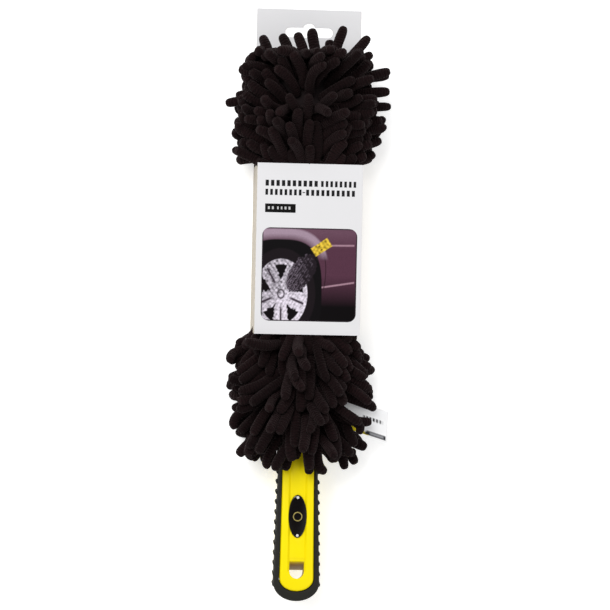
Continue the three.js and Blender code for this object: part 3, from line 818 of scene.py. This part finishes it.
def sewn_cover():
    """The cloth cover as a tube around the brush's axis, with a dome at the tip and a drawn-in neck.

    A point is (r cos a, y, r sin a). On the tube r is the cover's radius at y, and on the dome
    r = R sin b and y = shoulder + dome cos b. The angle runs backwards, so that the faces look
    outwards. The flat cloth has the area of its rings, and its map runs once around and along in
    metres.
    """
    neck = COVER_LOW[1] + np.array([0.2, 2.0, 4.0, 7.5, 11.4]) * MM
    tube = np.linspace(NECK_SHOULDER, COVER_SHOULDER, 44)[1:]
    steep = np.linspace(math.pi / 2, 0.03, 12)[1:]
    y = np.concatenate([neck, tube, COVER_SHOULDER + COVER_DOME * np.cos(steep)])
    radius = np.concatenate([cover_radius(neck), cover_radius(tube), COVER_RADIUS * np.sin(steep)])
    angle = -2 * math.pi * np.arange(COVER_COLUMNS) / COVER_COLUMNS
    grid = np.stack([
        radius[:, None] * np.cos(angle), y[:, None] + 0 * angle, radius[:, None] * np.sin(angle),
    ], -1)
    points = from_brush(grid.reshape(-1, 3))
    faces = grid_faces(len(y), COVER_COLUMNS, closed=True)
    closing = np.arange(len(points) - COVER_COLUMNS, len(points))
    faces = [*faces.tolist(), closing.tolist()]
    step = np.hypot(np.diff(y), np.diff(radius))
    down = np.concatenate([[0], np.cumsum(step)])
    around = 2 * math.pi * COVER_RADIUS
    spread = np.stack(np.meshgrid(np.linspace(0, around, COVER_COLUMNS + 1), down), -1).reshape(-1, 2)
    uv = spread[grid_faces(len(y), COVER_COLUMNS + 1).ravel()]
    uv = np.concatenate([uv, np.tile([0.0, down[-1]], (COVER_COLUMNS, 1))])
    area = float((math.pi * (radius[1:] + radius[:-1]) * step).sum())
    return points, faces, uv, (around, float(down[-1])), area


class WHEELBRUSH_OT_head(bpy.types.Operator):
    """Finish the cover's cloth, the neck elastic and the pieces inside the head"""

    bl_idname = "wheel_brush.head"
    bl_label = "Head cloth and core"

    def execute(self, context):
        noodles = context.scene.wheel_brush_noodles
        points, faces, uv, flat, area = sewn_cover()
        cover = new_piece("sewn_cover", points, faces, "brush", uv)
        dress(cover, cloth_material("backing_cloth", rgba(noodles.colour, 0.8)[:3], 900.0))
        thickened(cover, COVER_WALL, -1.0)
        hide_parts("cover_cloth")
        band = moulded_material("elastic_band", rgba(noodles.colour, 0.8)[:3], 0.95, 0.8, 1400.0)
        foam = moulded_material("foam", (0.26, 0.26, 0.24), 0.95, 1.0, 900.0)
        plastic = moulded_material("core_plastic", (0.012, 0.012, 0.013), 0.5)
        steel = moulded_material("zinc_steel", (0.55, 0.56, 0.58), 0.32, metallic=1.0)
        for name, made in (("neck_elastic", band), ("foam_body", foam), ("core_rod", plastic),
                           ("tip_washer", plastic), ("core_pin", steel), ("tip_screw", steel)):
            dress_node(name, made)
        return {"FINISHED"}


# ---------- handle ----------

HOLE_MIDDLE = (axis_x(-177.2 * MM), -177.2 * MM)
HOLE_REACH = (4.6 * MM, 8.4 * MM)  # half of the hook hole's width and length, with a little over
# painted shade in the hook hole starts at this height and deepens over HOLE_DEPTH
HOLE_FRONT = AXIS_ORIGIN[2] + 7.7 * MM  # the height at which its walls begin to darken
HOLE_DEPTH = 6 * MM


def moulded_copy(node, name, width, body="brush"):
    """A copy of a CAD node with its doubles merged, its flat faces joined and its edges rounded."""
    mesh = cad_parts[node].data.copy()
    mesh.name = name
    work = bmesh.new()
    work.from_mesh(mesh)
    bmesh.ops.remove_doubles(work, verts=work.verts, dist=2e-6)
    bmesh.ops.dissolve_limit(work, angle_limit=math.radians(0.6), verts=work.verts, edges=work.edges)
    work.to_mesh(mesh)
    work.free()
    shaded_smooth(mesh, True)
    piece = new_object(name, mesh, body)
    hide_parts(node)
    edge = piece.modifiers.new("Edges", "BEVEL")
    edge.width, edge.segments, edge.angle_limit = width, 3, math.radians(38)
    edge.limit_method, edge.harden_normals = "ANGLE", True
    return piece


def badge_dome():
    """The oval badge, slightly crowned: x = a r cos t, y = b r sin t, and a height that falls with r.

    The height is top - crown r^2 up to the rim, where it drops round a quarter circle, and then
    straight down to the plate's flat foot.
    """
    low, high = corners("badge_plate")
    half, across, along = (high - low) / 2, 48, 14
    edge, fall = 0.35 * MM, 0.22 * MM
    share = np.sin(np.linspace(0, 0.5, along) * math.pi)
    crown = high[2] - fall * share ** 2
    turn = np.linspace(0, math.pi / 2, 5)[1:]
    radius = np.concatenate([share * (half[0] - edge), half[0] - edge + edge * np.sin(turn), [half[0]]])
    radius = radius[1:, None]
    height = np.concatenate([crown, crown[-1] - edge * (1 - np.cos(turn)), [low[2]]])[1:, None]
    angle = 2 * math.pi * np.arange(across) / across
    grow = radius + half[1] - half[0] * np.minimum(1, radius / half[0])
    long = np.where(radius < half[0] - edge, radius * half[1] / half[0], grow)
    rings = np.stack([radius * np.cos(angle), long * np.sin(angle), height + 0 * angle], -1).reshape(-1, 3)
    rings[:, :2] += ((high + low) / 2)[:2]
    near = np.arange(across)
    count = len(rings)
    tip = np.stack([np.full(across, count), near, (near + 1) % across], -1)
    faces = [*grid_faces(len(radius), across, closed=True)[:, ::-1].tolist(), *tip.tolist()]
    faces.append(np.arange(count - across, count)[::-1].tolist())
    points = np.concatenate([rings, [[*((high + low) / 2)[:2], high[2]]]])
    piece = new_piece("badge_dome", points, faces, "brush")
    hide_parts("badge_plate")
    return piece


def handle_material(name, colour):
    """The handle's plastic, with painted shade that makes it browner and darker down the walls of the hook
    hole.
    """
    made = moulded_material(name, colour, 0.4, 0.1, specular_ior_level=0.15)
    tree = made.node_tree
    base = tree.nodes["Principled BSDF"].inputs["Base Color"]
    clean = base.links[0].from_socket
    place = put(tree, "ShaderNodeTexCoord").outputs["Object"]
    parts = put(tree, "ShaderNodeSeparateXYZ", {"Vector": place})
    # painted shade: a dark brown tint that grows with depth inside the hook hole's box
    shade = ranged(tree, parts.outputs["Z"], HOLE_FRONT, HOLE_FRONT - HOLE_DEPTH, 0.0, 1.0)
    for key, centre, reach in zip("XY", HOLE_MIDDLE, HOLE_REACH):
        away = sums(tree, "ABSOLUTE", sums(tree, "SUBTRACT", parts.outputs[key], centre), 0.0)
        shade = sums(tree, "MULTIPLY", shade, sums(tree, "LESS_THAN", away, reach))
    tree.links.new(mixed(tree, shade, clean, (0.42, 0.27, 0.02, 1.0)), base)
    return made


class WHEELBRUSH_OT_handle(bpy.types.Operator):
    """Round and finish the moulded handle, its rubber rim and the badge"""

    bl_idname = "wheel_brush.handle"
    bl_label = "Handle"

    def execute(self, context):
        handle = context.scene.wheel_brush_handle
        core = moulded_copy("handle_core", "handle_body", 0.45 * MM)
        dress(core, handle_material("satin_yellow_plastic", handle.colour))
        rim = moulded_copy("grip_overmould", "handle_rim", 0.3 * MM)
        dress(rim, moulded_material("matt_rubber", handle.rim_colour, 0.78, 0.6, 1500.0, 0.15,
                                    specular_ior_level=0.22))
        dress(badge_dome(), moulded_material("badge_gloss", (0.003, 0.002, 0.002), 0.12, 0.02))
        dress_node("badge_ring", moulded_material("badge_brass", (0.75, 0.62, 0.2), 0.3, metallic=1.0))
        metal = moulded_material("badge_metal", (0.8, 0.79, 0.76), 0.4, metallic=0.35)
        for name in ("badge_pin_upper", "badge_pin_lower"):
            dress_node(name, metal)
        return {"FINISHED"}


# ---------- card sleeve ----------


def card_material(name, front, side):
    """Coated card: fine fibre mottle, and a darker, warmer colour on the faces that point sideways, the two
    sides of the sleeve.
    """
    made, tree, shader = new_material(name, roughness=0.42, specular_ior_level=0.4)
    facing = put(tree, "ShaderNodeNewGeometry").outputs["True Normal"]
    sideways = put(tree, "ShaderNodeSeparateXYZ", {"Vector": facing}).outputs["X"]
    is_side = sums(tree, "GREATER_THAN", sums(tree, "ABSOLUTE", sideways, 0.0), 0.7)
    tone = mixed(tree, is_side, rgba(front), rgba(side))
    wire_paper(tree, shader, tone, 30.0, (0.96, 0.96, 0.955), 0.08)
    return made


class WHEELBRUSH_OT_card(bpy.types.Operator):
    """Finish the card sleeve and its glue line"""

    bl_idname = "wheel_brush.card"
    bl_label = "Card sleeve"

    def execute(self, context):
        card = context.scene.wheel_brush_card
        piece = moulded_copy("sleeve_card", "card_wrap", 0.16 * MM, "sleeve")
        shaded_smooth(piece.data, False)
        dress(piece, card_material("coated_card", card.front_colour, card.side_colour))
        dress_node("glue_strip", moulded_material("dried_glue", (0.6, 0.52, 0.34), 0.3))
        return {"FINISHED"}


# ---------- print on the card ----------

INK = 0.03 * MM
INK_FOOT = SLEEVE_TOP + 0.005 * MM
PICTURE = {"middle": (0.4, -13.8), "half": (25.7, 25.2), "corner": 4.4}  # in mm on the card's front
PICTURE_GRID = 190
WHEEL = {"middle": (-14.6, -24.4), "rim": (14.3, 19.0), "well": (22.0, 29.5)}


def soft_step(value, edge, blur=0.18):
    """0 below the edge and 1 above it, with a short ramp between."""
    return np.clip((value - edge) / blur + 0.5, 0, 1)[..., None]


def layered(under, *layers):
    """A colour with others laid over it in turn, each by its share."""
    for over, share in layers:
        under = under * (1 - share) + over * share
    return under


def rippled(x, y, random, low, high):
    """An uneven field: the mean of sines with random directions, and wave numbers from low to high."""
    turn, start = random.uniform(0, 2 * math.pi, (2, 14))
    wave = random.uniform(low, high, 14)
    ways = np.stack([wave * np.cos(turn), wave * np.sin(turn)])
    return np.sin(x[..., None] * ways[0] + y[..., None] * ways[1] + start).sum(-1) / 3.7


def slanted(x, y, middle, way):
    """Distances along and across a slanting line through a middle."""
    dx, dy = x - middle[0], y - middle[1]
    return dx * way[0] + dy * way[1], dx * way[1] - dy * way[0]


def painted_body(x, y):
    """The car's side: darker towards the floor, with two bright lines and the seam of a door."""
    body = layered(
        linear(10, 7, 9),
        (linear(82, 50, 66), np.clip((y + 31) / 17, 0, 1)[..., None]),
        (linear(116, 86, 102), soft_step(y, 4.5, 9) * 0.5),
    )
    for left, right, low, high in ((11.5, 24.6, 2.2, 2.4), (6.2, 24.9, -20.7, -17.6)):
        line = low + (high - low) * (x - left) / (right - left)
        near = soft_step(0.45 - np.abs(y - line), 0, 0.4) * soft_step(x, left) * soft_step(right - x, 0)
        body = layered(body, (linear(160, 126, 140), near))
    seam = soft_step(0.22 - np.abs(x - 9.4 + 0.012 * (y + 12) ** 2), 0, 0.3) * soft_step(2 - y, 0)
    return layered(body, (linear(46, 28, 36), seam * soft_step(y, -22, 2)))


def painted_picture(x, y, random):
    """The card's picture as colours: a dark wheel well, a five-spoke wheel, a car body and a brush.

    Each shape is a distance in mm, such as the ellipse (x / a)^2 + (y / b)^2 = 1 of the rim, and
    its colour is laid over what is there by a short ramp on that distance.
    """
    foam = rippled(x, y, random, 1.2, 4.2)
    drops = rippled(x, y, random, 4.0, 9.0)
    dx, dy = x - WHEEL["middle"][0], y - WHEEL["middle"][1]
    well = (np.abs(dx / WHEEL["well"][0]) ** 3 + np.abs(dy / WHEEL["well"][1]) ** 3) ** (1 / 3)
    arch = layered(linear(104, 80, 94), (linear(158, 136, 152), soft_step(well, 1.06, 0.1)))
    # the wheel, in a plane where its rim is a unit circle
    u, v = dx / WHEEL["rim"][0], dy / WHEEL["rim"][1]
    radius, turn = np.hypot(u, v), np.arctan2(v, u)
    spoke = np.abs((turn - 0.95 + math.pi / 5) % (2 * math.pi / 5) - math.pi / 5) * radius
    light = 0.62 + 0.5 * np.clip(0.5 + 0.5 * np.cos(turn + 0.9), 0, 1) + 0.3 * foam + 0.14 * drops
    metal = linear(206, 198, 210) * np.clip(light, 0.15, 1.35)[..., None]
    within = soft_step(0.9 - radius, 0, 0.02)
    arms = soft_step(0.2 + 0.1 * radius - spoke + 0.02 * foam, 0, 0.03) * within
    # the brush: its head is an ellipse along a slanting line, and its handle a bar that slants less
    along, aside = slanted(x, y, (-3.7, -12.9), (0.56, 0.83))
    head = 1 - np.hypot(along / 11.6, aside / 6.2) + 0.05 * foam
    wet = np.clip(0.35 + 0.35 * foam - 0.09 * (x + 3), 0, 1) * (0.5 + 0.5 * np.sin(5.5 * aside + 2 * foam))
    fur = layered(linear(33, 26, 32), (linear(128, 116, 130), wet[..., None] * 0.75))
    along, aside = slanted(x, y, (6.9, 1.2), (0.83, 0.56))
    bar = soft_step(1 - np.maximum(np.abs(along) / 5.2, np.abs(aside) / 2.6), 0, 0.12)
    yellow = linear(224, 190, 62) * np.clip(0.8 + 0.35 * foam, 0.25, 1.1)[..., None]
    mark = soft_step(0.55 - np.abs(along + 0.8) / 1.6 - np.abs(np.abs(aside) - 1.1), 0, 0.2)
    reach = np.maximum(np.abs(x - PICTURE["middle"][0]) - PICTURE["half"][0],
                       np.abs(y - PICTURE["middle"][1]) - PICTURE["half"][1])
    paint = layered(
        painted_body(x, y),
        (arch, soft_step(1.2 - well, 0, 0.04) * soft_step(y, -3.5, 5)),
        (linear(13, 11, 13), soft_step(1 - well, 0, 0.02)),
        (linear(26, 20, 24), soft_step(1.3 - radius, 0, 0.03)),
        (linear(14, 10, 13), within),
        (metal, soft_step(1.0 - radius, 0, 0.02) * soft_step(radius, 0.84, 0.02)),
        (metal * 0.95, arms),
        (linear(60, 50, 60), soft_step(0.035 - spoke, 0, 0.03) * arms * soft_step(radius, 0.35)),
        (metal, soft_step(0.27 - radius, 0, 0.03)),
        (linear(62, 54, 62), soft_step(0.025 - np.abs(radius - 0.12), 0, 0.04)),
        (fur, soft_step(head, 0, 0.06)),
        (yellow, bar),
        (linear(60, 46, 20), mark * bar * 0.8),
        (linear(40, 32, 38), soft_step(reach, -0.55, 0.2)),
    )
    # the uneven tone of print
    return paint * (1 + 0.05 * random.normal(size=x.shape))[..., None]


def rounded_grid(middle, half, corner, count):
    """A grid in a rectangle with round corners: the rows get shorter within a corner of the ends."""
    y = np.linspace(-half[1], half[1], count)
    into = np.clip(np.abs(y) - (half[1] - corner), 0, corner)
    wide = half[0] - corner + np.sqrt(np.maximum(corner ** 2 - into ** 2, 0))
    x = np.linspace(-1, 1, count)[None] * wide[:, None]
    return x + middle[0], np.broadcast_to(y[:, None], x.shape) + middle[1]


def word(left, right, count, gap=1.15):
    """The x spans of evenly spaced blocks that stand for one word."""
    pitch = (right - left + gap) / count
    start = left + pitch * np.arange(count)
    return np.stack([start, start + pitch - gap], 1)


def line_of(low, high, *spans):
    """Blocks as rows of left, right, low and high, from x spans that share their y range."""
    spans = np.concatenate(spans)
    return np.column_stack([spans, np.full((len(spans), 2), (low, high))])


def ink_blocks(name, lines, ink, colour, lift=0.0):
    """One piece of ink blocks on the card's front, from lines in mm.

    The ink is an even colour that the card's fibres break up a little, under a thin gloss.
    """
    left, right, low, high = np.concatenate(lines).T * MM
    x, y = np.stack([left, right, right, left], 1), np.stack([low, low, high, high], 1)
    foot = INK_FOOT + lift
    points = np.concatenate([np.stack([x, y, np.full(x.shape, z)], -1) for z in (foot, foot + INK)], 1)
    box = np.array([[3, 2, 1, 0], [4, 5, 6, 7], [0, 1, 5, 4], [1, 2, 6, 5], [2, 3, 7, 6], [3, 0, 4, 7]])
    faces = (box + 8 * np.arange(len(x))[:, None, None]).reshape(-1, 4)
    piece = new_piece(name, points.reshape(-1, 3), faces, "sleeve", smooth=False)
    dress(piece, moulded_material(ink, colour, 0.5, 0.05, 5200.0, 0.12, specular_ior_level=0.06))


def painted_material(name, roughness):
    """A surface coloured by its paint attribute, with the fine relief of print."""
    made, tree, shader = new_material(name, roughness=roughness, specular_ior_level=0.06)
    paint = put(tree, "ShaderNodeAttribute", attribute_name="paint").outputs["Color"]
    wire_paper(tree, shader, paint, 400.0, (0.93, 0.93, 0.93), 0.06)
    return made


class WHEELBRUSH_OT_print(bpy.types.Operator):
    """Lay the ink on the card: two lines of plain blocks, a black field and a picture of a wheel"""

    bl_idname = "wheel_brush.print"
    bl_label = "Print"

    def execute(self, context):
        ink_blocks("heading_blocks", [
            line_of(33.8, 37.0, word(-24.1, 4.1, 10), word(5.9, 24.9, 8)),
            line_of(28.9, 32.1, word(-24.1, -4.6, 8), word(-2.1, 24.3, 10)),
            line_of(30.3, 30.8, [[-4.0, -2.7]]),
        ], "dark_ink", (0.011, 0.011, 0.012))
        ink_blocks("size_field", [line_of(19.5, 24.2, [[-24.1, -7.6]])], "black_ink", (0.004, 0.004, 0.004))
        ink_blocks("size_blocks", [
            line_of(21.2, 22.7, word(-22.6, -19.4, 2), word(-17.6, -14.8, 2), word(-13.6, -10.4, 2)),
        ], "pale_ink", (0.5, 0.5, 0.5), lift=INK)
        x, y = rounded_grid(PICTURE["middle"], PICTURE["half"], PICTURE["corner"], PICTURE_GRID)
        colours = painted_picture(x, y, np.random.default_rng(3)).reshape(-1, 3)
        top = np.stack([x * MM, y * MM, np.full(x.shape, INK_FOOT + INK)], -1)
        points, faces = slab_of(top, INK)
        ring = len(points) - len(colours)
        colours = np.concatenate([np.clip(colours, 0, 1), np.full((ring, 3), 0.02)])
        picture = new_piece("card_picture", points, faces, "sleeve", smooth=False,
                            attributes={"paint": colours})
        dress(picture, painted_material("picture_ink", 0.36))
        return {"FINISHED"}


# ---------- the sewn label ----------

TAPE_WHITE = linear(250, 250, 251)
TAPE_WALL = 0.12 * MM
FOLD_APART = 0.7 * MM


def painted_label(along, down):
    """The label's print as colours by its shares: white, a yellow wedge and a dark band by one edge."""
    edge = 0.6 + 0.36 * (along - 0.33) / 0.3
    wedge = soft_step(along, 0.3, 0.02) * soft_step(down - edge, 0, 0.03) * soft_step(0.7 - along, 0, 0.02)
    band = soft_step(down - 0.85, 0, 0.02) * soft_step(0.985 - down, 0, 0.02)
    band *= soft_step(along - 0.55 - 0.5 * (1 - down), 0, 0.02) * soft_step(0.985 - along, 0, 0.01)
    box = soft_step(0.032 - np.abs(down - 0.915), 0, 0.01) * soft_step(0.13 - np.abs(along - 0.82), 0, 0.01)
    blocks = soft_step(np.cos(2 * math.pi * 16 * along), -0.25, 0.4) * soft_step(along, 0.55, 0.01)
    row = soft_step(0.055 - np.abs(down - 0.44), 0, 0.015) * soft_step(0.93 - along, 0, 0.01)
    return layered(
        TAPE_WHITE, (linear(236, 214, 40), wedge), (linear(38, 38, 44), band),
        (linear(146, 146, 150), box), (linear(34, 34, 36), row * blocks),
    )


class WHEELBRUSH_OT_label(bpy.types.Operator):
    """Fold the printed tape of the sewn label: out over the top, round its tip and back underneath"""

    bl_idname = "wheel_brush.label"
    bl_label = "Label"

    def execute(self, context):
        rows, columns = 101, 29
        # one leg goes out over the upper side and the other comes back under it
        leg = np.linspace(0, 1, rows // 2)
        share = np.concatenate([leg, [1.0 + 0.5 * FOLD_APART / (33 * MM)], leg[::-1]])
        level = np.repeat([0.5, 0.0, -0.5], [len(leg), 1, len(leg)]) * FOLD_APART
        level *= np.clip(share * 3, 0.25, 1)
        down, along = np.meshgrid(np.linspace(0, 1, columns), share)
        ahead = LABEL_TIP - LABEL_ROOT
        x = LABEL_ROOT[0] + ahead[0] * along + LABEL_ACROSS[0] * (down - 0.5) * along
        y = LABEL_ROOT[1] + ahead[1] * along + LABEL_ACROSS[1] * (down - 0.5)
        wave = 0.5 * MM * np.sin(3.2 * along + 1.5 * down)
        z = label_height(x, y) + level[:, None] + wave
        points = np.stack([x, y, z], -1).reshape(-1, 3)
        colours = painted_label(along, down)
        colours[rows // 2 + 1:] = TAPE_WHITE
        faces = grid_faces(rows, columns)
        corner = np.stack([along, down], -1).reshape(-1, 2)[faces.ravel()] * [LABEL_LEG, LABEL_WIDTH]
        piece = new_piece("folded_label", points, faces, "brush", corner,
                          attributes={"paint": colours.reshape(-1, 3)})
        dress(piece, painted_material("label_tape", 0.6))
        thickened(piece, TAPE_WALL, 0.0)
        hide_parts("care_label")
        return {"FINISHED"}


# ---------- stage ----------

CAMERA_PLACE = (-0.0526, -0.0299, 1.0)
CAMERA_TURN = (-0.0014, -0.0535, 0.0211)
CAMERA_LENS = 104.5
FLOOR_HALF = 4.0


def soft_light(name, place, size, power):
    """A square lamp that looks at the brush."""
    lamp = bpy.data.lights.new(name, "AREA")
    lamp.energy, lamp.size = power, size
    holder = bpy.data.objects.new(name, lamp)
    holder.location = place
    holder.rotation_euler = (-holder.location).to_track_quat("-Z", "Y").to_euler()
    bpy.context.scene.collection.objects.link(holder)


class WHEELBRUSH_OT_stage(bpy.types.Operator):
    """Lay the floor, hang the lights and place the camera over the brush"""

    bl_idname = "wheel_brush.stage"
    bl_label = "Stage"

    def execute(self, context):
        stage = context.scene.wheel_brush_stage
        mesh = bpy.data.meshes.new("floor")
        ends = [(-1, -1), (1, -1), (1, 1), (-1, 1)]
        mesh.from_pydata([(FLOOR_HALF * x, FLOOR_HALF * y, 0) for x, y in ends], [], [(0, 1, 2, 3)])
        floor = bpy.data.objects.new("floor", mesh)
        context.scene.collection.objects.link(floor)
        dress(floor, new_material(
            "pale_floor", roughness=0.9, specular_ior_level=0.1, base_color=rgba(stage.floor_colour),
            emission_color=(1.0, 1.0, 1.0, 1.0), emission_strength=stage.glow,
        )[0])
        world = context.scene.world or bpy.data.worlds.new("Sky")
        context.scene.world = world
        world.use_nodes = True
        tree = world.node_tree
        sky = tree.nodes["Background"]
        sky.inputs["Strength"].default_value = stage.light
        # the tent is open over the brush, where the camera looks in
        way = put(tree, "ShaderNodeTexCoord").outputs["Generated"]
        high = put(tree, "ShaderNodeSeparateXYZ", {"Vector": way}).outputs["Z"]
        opening = ranged(tree, high, 0.955, 0.985, 0.0, 1.0)
        tone = mixed(tree, opening, (1.0, 1.0, 1.0, 1.0), (0.12, 0.12, 0.12, 1.0))
        tree.links.new(tone, sky.inputs["Color"])
        soft_light("key_light", (-0.5, 0.65, 1.5), 0.9, 18.0)
        soft_light("fill_light", (0.9, -0.5, 1.2), 0.8, 3.0)
        lens = bpy.data.cameras.new("camera")
        lens.lens, lens.sensor_width = CAMERA_LENS, 36.0
        camera = bpy.data.objects.new("camera", lens)
        camera.location, camera.rotation_euler = CAMERA_PLACE, CAMERA_TURN
        context.scene.collection.objects.link(camera)
        context.scene.camera = camera
        context.scene.view_settings.view_transform = "Standard"
        return {"FINISHED"}


# ---------- add-on ----------


class WHEELBRUSH_PT_panel(bpy.types.Panel):
    """Lists the settings and the operators"""

    bl_label = "Wheel brush"
    bl_idname = "WHEELBRUSH_PT_panel"
    bl_space_type = "VIEW_3D"
    bl_region_type = "UI"
    bl_category = "Wheel brush"

    def draw(self, context):
        for settings in SETTINGS:
            box = self.layout.box()
            group = getattr(context.scene, settings)
            for key in group.bl_rna.properties.keys():
                if key not in ("rna_type", "name"):
                    box.prop(group, key)
        for operator in OPERATORS:
            self.layout.operator(operator.bl_idname)


SETTINGS = {
    "wheel_brush_noodles": NoodleSettings,
    "wheel_brush_handle": HandleSettings,
    "wheel_brush_card": CardSettings,
    "wheel_brush_stage": StageSettings,
}
OPERATORS = (
    WHEELBRUSH_OT_stage,
    WHEELBRUSH_OT_noodles,
    WHEELBRUSH_OT_head,
    WHEELBRUSH_OT_handle,
    WHEELBRUSH_OT_card,
    WHEELBRUSH_OT_print,
    WHEELBRUSH_OT_label,
)


def register():
    for made in (*SETTINGS.values(), *OPERATORS, WHEELBRUSH_PT_panel):
        bpy.utils.register_class(made)
    for key, made in SETTINGS.items():
        setattr(bpy.types.Scene, key, PointerProperty(type=made))


def unregister():
    for key in SETTINGS:
        delattr(bpy.types.Scene, key)
    for made in reversed((*SETTINGS.values(), *OPERATORS, WHEELBRUSH_PT_panel)):
        bpy.utils.unregister_class(made)


def main():
    """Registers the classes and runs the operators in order."""
    register()
    build_grain_group()
    build_weave_group()
    build_ridge_group()
    for operator in OPERATORS:
        group, name = operator.bl_idname.split(".")
        getattr(getattr(bpy.ops, group), name)()


if __name__ == "__main__":
    main()
